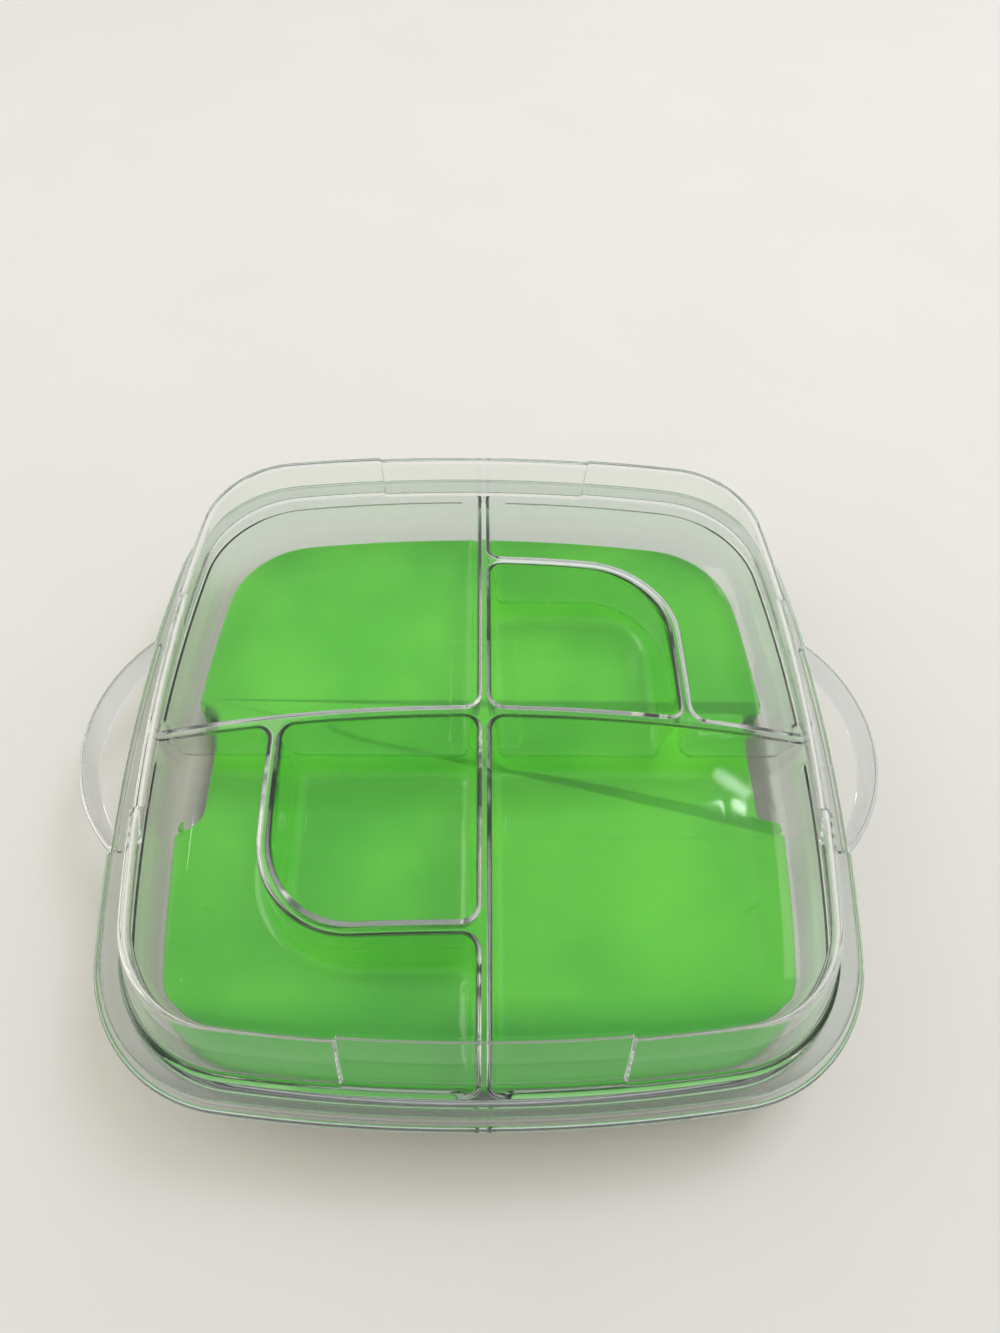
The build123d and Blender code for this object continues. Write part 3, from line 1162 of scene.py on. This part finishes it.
        shares = self.shares(shape)
        crossing = self.arc_between((w + soft, w + soft), soft, (w, w + soft), (w + soft, w))
        inner_x = self.cup_half + w + soft if shape is Shape.CORNER else w + soft
        if shape is Shape.CUP:
            end_x = self.cup_half - w - soft
            cup = self.cup_side(-w, self.cup_radius(w), w + soft)
            divider = self.divider_side(w, inner_x, end_x, shares)
            corner = self.arc_between((end_x, w + soft), soft, (end_x, w), tuple(cup[0]))
            put(SideKind.DIVIDER, divider, corner, cup, across(corner), across(divider), crossing)
            return self.joined(pieces)
        centre, on_divider, on_wall = self.wall_corner(w, inset, round_out)
        if level == 0:
            centre = on_divider = on_wall = (self.outline.half - inset, 0.0)
        divider = self.divider_side(w, inner_x, on_divider[0], shares)
        corner = self.arc_between(centre, round_out, on_divider, on_wall)
        put(SideKind.DIVIDER, divider)
        blend(corner, True)
        put(SideKind.OUTER, self.outer_side(inset, on_wall))
        blend(across(corner), False)
        put(SideKind.DIVIDER, across(divider))
        if shape is Shape.FULL:
            put(SideKind.DIVIDER, crossing)
            return self.joined(pieces)
        cup = self.cup_side(w, self.cup_corner + w, w + soft)
        corner = self.arc_between((inner_x, w + soft), soft, tuple(cup[0]), (inner_x, w))
        put(SideKind.DIVIDER, across(corner), cup[::-1], corner)
        return self.joined(pieces)

    @staticmethod
    def joined(pieces: list[tuple[Loop, np.ndarray]]) -> np.ndarray:
        """The sides one after another, each without its last point, which the next one repeats."""
        return np.vstack([np.column_stack([points, z])[:-1] for points, z in pieces])

    def top_sheet(self) -> MeshBuilder:
        """The upper surface: every compartment's levels, then the flange's flat top.

        Returns:
            The points and faces of one open sheet.
        """
        maker = MeshBuilder()
        plan = ((Shape.FULL, 1), (Shape.FULL, 3), (Shape.CUP, 0), (Shape.CUP, 2),
                (Shape.CORNER, 0), (Shape.CORNER, 2))
        levels = len(self.divider_levels())
        for shape, quarter in plan:
            loops = [maker.add(turned(self.level_loop(shape, n), quarter)) for n in range(levels)]
            maker.loft(loops)
            maker.cap(loops[-1])
        halves = (self.outline.half - self.outer_levels()[0][0], self.seat_half, self.flange - self.flange_r)
        maker.loft([maker.add(self.flange_ring(half, self.rim_z)) for half in halves][::-1])
        return maker

    def flange_ring(self, half: float, z: float) -> np.ndarray:
        """A ring of the flange, with the points that the outer wall's top has."""
        return lifted(all_round(self.outer_side(self.outline.half - half, (half, 0.0))[:-1]), z)

    def build(self, finish: bpy.types.Material) -> bpy.types.Object:
        """Make the insert: the upper surface, a copy one wall thickness below, and the flange's edge.

        Args:
            finish: its material.

        Returns:
            The object.
        """
        upper = self.top_sheet().build("insert_upper", open_sheet=True)
        mesh = upper.data
        count = len(mesh.vertices)
        points = np.empty(count * 3)
        mesh.vertices.foreach_get("co", points)
        points = points.reshape(-1, 3) / MM
        normals = np.array([v.normal for v in mesh.vertices])
        if normals[:, 2].mean() < 0:
            normals = -normals
        sheet = MeshBuilder()
        top = sheet.add(points)
        below = sheet.add(points - normals * self.wall)
        for polygon in mesh.polygons:
            face = list(polygon.vertices)
            sheet.faces.append(tuple(int(top[i]) for i in face))
            sheet.faces.append(tuple(int(below[i]) for i in reversed(face)))
        self.edge_band(sheet)
        bpy.data.objects.remove(upper, do_unlink=True)
        return sheet.build("divided_insert_shell", finish)

    def edge_band(self, sheet: MeshBuilder) -> None:
        """Close the flange's outer edge with a rounded band.

        Args:
            sheet: receives the band.
        """
        r = self.flange_r
        centre = self.flange - r
        section = arc_profile(centre, self.rim_z - r, r, 90, 0, 3)
        section += arc_profile(centre, self.rim_z - self.wall + r, r, 0, -90, 3)
        sheet.loft([sheet.add(self.flange_ring(half, z)) for half, z in section])


@dataclass
class Lid(Moulding):
    """Clear lid: a flange, four walls with a stepped grip panel each, and a plain raised medallion."""

    break_at: float = 53.0
    break_width: float = 0.9
    seat_z: float = 51.12
    top_z: float = 90.0
    flange: float = 158.8
    flange_t: float = 2.2
    flange_r: float = 0.7       # radius of the flange's edges
    flat_seat: float = 151.5    # the flange's underside is flat from here out
    foot_r: float = 2.0         # fillet between the wall and the flange's top
    mouth_r: float = 0.8        # inner edge of the mouth
    thick: float = 2.0
    low: float = 150.0
    high: float = 141.0
    edge_r: float = 5.0
    grip_step: float = 1.2
    flat_half: float = 112.0
    medal_w: float = 29.0
    medal_l: float = 52.0
    medal_corner: float = 3.0
    medal_step: float = 0.8

    def half_at(self, z: float) -> float:
        """Half size of the wall's outside at this height."""
        return self.low + (self.high - self.low) * (z - self.seat_z) / (self.top_z - self.seat_z)

    def profile(self) -> tuple[list[Point], list[float]]:
        """The lid's section from inside the top, down, out and up, and how far the panels step in.

        Returns:
            Half size and height of each point, and its share of the panels' depth.
        """
        lean = (self.low - self.high) / (self.top_z - self.seat_z)
        tilt = math.degrees(math.atan(lean))
        points: list[Point] = []
        steps: list[float] = []

        def put(new: list[Point], step: float) -> None:
            """Add points that all step in by this share of the grip panels' depth."""
            points.extend(new)
            steps.extend([step] * len(new))

        inner_top = self.top_z - self.thick
        r_in = self.edge_r - 1.2
        r_out = self.edge_r
        put([(self.flat_half, inner_top), (self.half_at(inner_top) - 2 - r_in - 3, inner_top)], 0.0)
        inner_edge = self.half_at(inner_top) - self.thick
        put(arc_profile(inner_edge - r_in, inner_top - r_in, r_in, 90, tilt, 6), 1.0)
        put([(self.half_at(67.0) - self.thick, 67.0)], 1.0)
        put([(self.half_at(self.seat_z + 2) - self.thick, self.seat_z + 2)], 1.0)
        mouth_r, flange_r, foot_r = self.mouth_r, self.flange_r, self.foot_r
        put(arc_profile(self.low - self.thick + mouth_r, self.seat_z + mouth_r, mouth_r, 180, 270, 3), 1.0)
        put([(self.flat_seat, self.seat_z)], 0.0)
        flange_top = self.seat_z + self.flange_t
        put(arc_profile(self.flange - flange_r, self.seat_z + flange_r, flange_r, 270, 360, 3), 0.0)
        put(arc_profile(self.flange - flange_r, flange_top - flange_r, flange_r, 0, 90, 3), 0.0)
        foot = self.half_at(flange_top + foot_r)
        put([(foot + 3.4, flange_top)], 0.0)
        put(arc_profile(foot + foot_r, flange_top + foot_r, foot_r, 270, 180 + tilt, 5), 1.0)
        put([(self.half_at(68.0), 68.0)], 1.0)
        put(arc_profile(self.half_at(self.top_z) - r_out + 0.45, self.top_z - r_out, r_out, tilt, 90, 9), 1.0)
        put([(self.half_at(self.top_z) - r_out - 4, self.top_z), (self.flat_half, self.top_z)], 0.0)
        for n in range(len(points)):
            if steps[n] == 1.0 and points[n][1] > self.top_z - 0.8:
                steps[n] = 0.6
        return points, steps

    def step_in(self, ring: np.ndarray, amount: float) -> np.ndarray:
        """Set the middle of each side in by this much.

        Args:
            ring: one ring of the lid.
            amount: distance in millimetres.

        Returns:
            The changed ring.
        """
        inward = np.tile([-amount, 0.0, 0.0], (len(ring) // 4, 1))
        return ring + all_round(inward) * self.inside_break(range(4))[:, None]

    def medallion(self, grow: float, z: float) -> np.ndarray:
        """A small rounded rectangle with as many points as the lid's rings.

        Args:
            grow: how far outside the medallion's edge it runs.
            z: its height.

        Returns:
            Rows of x, y and z.
        """
        side, bend = self.angles()
        radius = max(self.medal_corner + grow, 0.4)
        share = (side - side[0]) / (side[-1] - side[0]) * 2 - 1
        a = (bend - side[-1]) / (math.pi / 2 - 2 * side[-1]) * math.pi / 2
        quarters = []
        for n in range(4):
            out, along = (self.medal_w, self.medal_l) if n % 2 == 0 else (self.medal_l, self.medal_w)
            out, flat = out / 2 + grow, along / 2 + grow - radius
            straight = np.column_stack([np.full(len(side), out), flat * share])
            bent = np.column_stack([out - radius + radius * np.cos(a), flat + radius * np.sin(a)])
            quarters.append(turned(np.vstack([straight, bent]), n))
        return lifted(np.vstack(quarters), z)

    def build(self, finish: bpy.types.Material) -> bpy.types.Object:
        """Make the lid.

        Args:
            finish: its material.

        Returns:
            The object.
        """
        profile, steps = self.profile()
        maker = MeshBuilder()
        rings = self.sweep(maker, profile, lambda ring, n: self.step_in(ring, steps[n] * self.grip_step))
        edge = ((1.5, 0.0), (0.5, 0.0), (0.2, 0.3), (-0.1, 0.8), (-0.6, 1.0), (-2.0, 1.0))
        raised = [maker.add(self.medallion(grow, self.top_z + rise * self.medal_step)) for grow, rise in edge]
        maker.loft([rings[-1], *raised])
        maker.cap_ends([rings[0], raised[-1]])
        return maker.build("lid_shell", finish)


# ------------------------------------------------------------------------ studio

@dataclass
class Studio:
    """Floor, lights and camera."""

    eye: tuple[float, float, float] = (-0.0053, -0.2004, 0.4265)    # metres
    pitch: float = 57.55        # degrees below level
    roll: float = 3.07
    yaw: float = 3.16
    lens: float = 24.95         # focal length in millimetres
    floor: float = 1.6          # half the floor's width, in metres

    def place_floor(self) -> None:
        """A large plain floor."""
        mesh = bpy.data.meshes.new("floor")
        s = self.floor
        mesh.from_pydata([(-s, -s, 0), (s, -s, 0), (s, s, 0), (-s, s, 0)], [], [(0, 1, 2, 3)])
        floor = bpy.data.objects.new("floor", mesh)
        bpy.context.scene.collection.objects.link(floor)
        mesh.materials.append(PaintedSweep().make())

    def area(self, name: str, place: Sequence[float], aim: Sequence[float], size: Sequence[float],
             power: float, colour: str) -> bpy.types.Object:
        """Add one soft panel light.

        Args:
            name: its name.
            place: position in metres.
            aim: point it faces.
            size: width and height in metres.
            power: watts.
            colour: hex colour.

        Returns:
            The light.
        """
        data = bpy.data.lights.new(name, "AREA")
        data.shape, data.size, data.size_y = "RECTANGLE", size[0], size[1]
        data.energy, data.color = power, linear(colour)[:3]
        light = bpy.data.objects.new(name, data)
        bpy.context.scene.collection.objects.link(light)
        light.location = place
        light.rotation_euler = (Vector(aim) - Vector(place)).to_track_quat("-Z", "Y").to_euler()
        return light

    def light(self) -> None:
        """A key from high on the right, a small glint beside it, a warm fill, and a graded sky.

        The key is kept out of reflections and refractions, which the clear walls would otherwise
        count a second time; the glint gives them a highlight of their own. The sky is dimmer in
        front and overhead.
        """
        key = self.area("key", (1.0, 0.85, 2.3), (0, 0, 0.03), (1.0, 1.0), 33, "FFFDFA")
        key.visible_glossy = key.visible_transmission = False
        self.area("glint", (0.79, 1.0, 2.3), (0, 0, 0.03), (0.12, 0.03), 0.16, "FFFFFF")
        self.area("fill", (-1.3, 0.3, 1.1), (-0.1, 0, 0.03), (1.2, 1.2), 6, "FFF4E4")
        world = bpy.data.worlds.new("sky")
        bpy.context.scene.world = world
        world.use_nodes = True
        tree = world.node_tree
        tree.nodes.clear()
        way = add_node(tree, "ShaderNodeTexCoord").outputs["Generated"]
        along = add_node(tree, "ShaderNodeSeparateXYZ", links={"Vector": way})
        dimmer = add_node(tree, "ShaderNodeMapRange",
                          values={"From Min": -0.85, "From Max": 0.15, "To Min": 0.4, "To Max": 0.86},
                          links={"Value": along.outputs["Y"]})
        overhead = add_node(tree, "ShaderNodeMapRange",
                            values={"From Min": 0.35, "From Max": 0.8, "To Min": 1.15, "To Max": 0.68},
                            links={"Value": along.outputs["Z"]})
        strength = add_node(tree, "ShaderNodeMath", settings={"operation": "MULTIPLY"},
                            links={0: dimmer.outputs["Result"], 1: overhead.outputs["Result"]})
        sky = add_node(tree, "ShaderNodeBackground", values={"Color": linear("F0F1F2")},
                       links={"Strength": strength.outputs[0]})
        add_node(tree, "ShaderNodeOutputWorld", links={"Surface": sky.outputs[0]})

    def aim_camera(self) -> None:
        """Place the camera high in front of the server."""
        pitch, roll, yaw = (math.radians(v) for v in (self.pitch, self.roll, self.yaw))
        forward = Vector((math.sin(yaw) * math.cos(pitch), math.cos(yaw) * math.cos(pitch), -math.sin(pitch)))
        level = Vector((math.cos(yaw), -math.sin(yaw), 0))
        upright = level.cross(forward)
        right = level * math.cos(roll) + upright * math.sin(roll)
        up = upright * math.cos(roll) - level * math.sin(roll)
        data = bpy.data.cameras.new("camera")
        data.lens, data.sensor_width, data.clip_start = self.lens, 36.0, 0.01
        camera = bpy.data.objects.new("camera", data)
        bpy.context.scene.collection.objects.link(camera)
        turn = Matrix((right, up, -forward)).transposed()
        camera.matrix_world = Matrix.Translation(Vector(self.eye)) @ turn.to_4x4()
        bpy.context.scene.camera = camera

    def build(self) -> None:
        """Set up everything that isn't the server."""
        scene = bpy.context.scene
        scene.view_settings.view_transform = "Standard"
        scene.cycles.transparent_max_bounces = 40
        scene.cycles.transmission_bounces = 24
        scene.cycles.glossy_bounces = 24
        scene.cycles.max_bounces = 28
        scene.cycles.caustics_reflective = False
        self.place_floor()
        self.light()
        self.aim_camera()


def dress_node(name: str, material: bpy.types.Material) -> None:
    """Give a CAD node that stays its material.

    Args:
        name: the node.
        material: its finish.
    """
    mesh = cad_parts[name].data
    mesh.materials.clear()
    mesh.materials.append(material)


def place(obj: bpy.types.Object, body: str, slot: str, *nodes: str) -> None:
    """Hand a finished piece to the frame.

    Args:
        obj: the piece.
        body: the body it moves with.
        slot: the record's material slot; not used.
        nodes: CAD nodes it stands for.
    """
    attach(obj, body)
    if nodes:
        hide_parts(*nodes)
    log.info("%s: %d faces, rides on %s", obj.name, len(obj.data.polygons), body)


def main() -> None:
    """Build the server from the tray up, then the studio."""
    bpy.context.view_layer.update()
    tray_plastic = ClearPlastic("Clear_Styrene_Moulded_Tray", tint="F4F5F9", shade="F7F3E9",
                                edge_shade="968C72").make()
    insert_plastic = ClearPlastic("Clear_Styrene_Moulded_Insert", tint="F5FAF4").make()
    lid_plastic = ClearPlastic("Clear_Styrene_Moulded_Lid", tint="FEFEFE", ior=1.26).make()
    pack_plastic = TintedPolyethylene("Green_Polyethylene_Blow_Moulded").make()
    gel = TintedPolyethylene("Green_Gel_Set", light="4FC027", deep="319E12", roughness=0.2).make()
    plug = TintedPolyethylene("Green_Polyethylene_Spin_Welded", light="44B41F", deep="27960F").make()

    place(BaseTray().build(tray_plastic), "tray", "clear_tray_plastic", "base_tray")
    place(FreezerPack().build(pack_plastic), "pack", "green_pack_plastic", "freezer_pack_shell")
    dress_node("freezer_gel", gel)
    dress_node("fill_plug", plug)
    place(DividedInsert().build(insert_plastic), "insert", "clear_insert_plastic", "divided_insert")
    place(Lid().build(lid_plastic), "cover", "clear_lid_plastic", "lid")
    Studio().build()


if __name__ == "__main__":
    logging.basicConfig(level=logging.INFO, format="%(name)s: %(message)s")
    main()
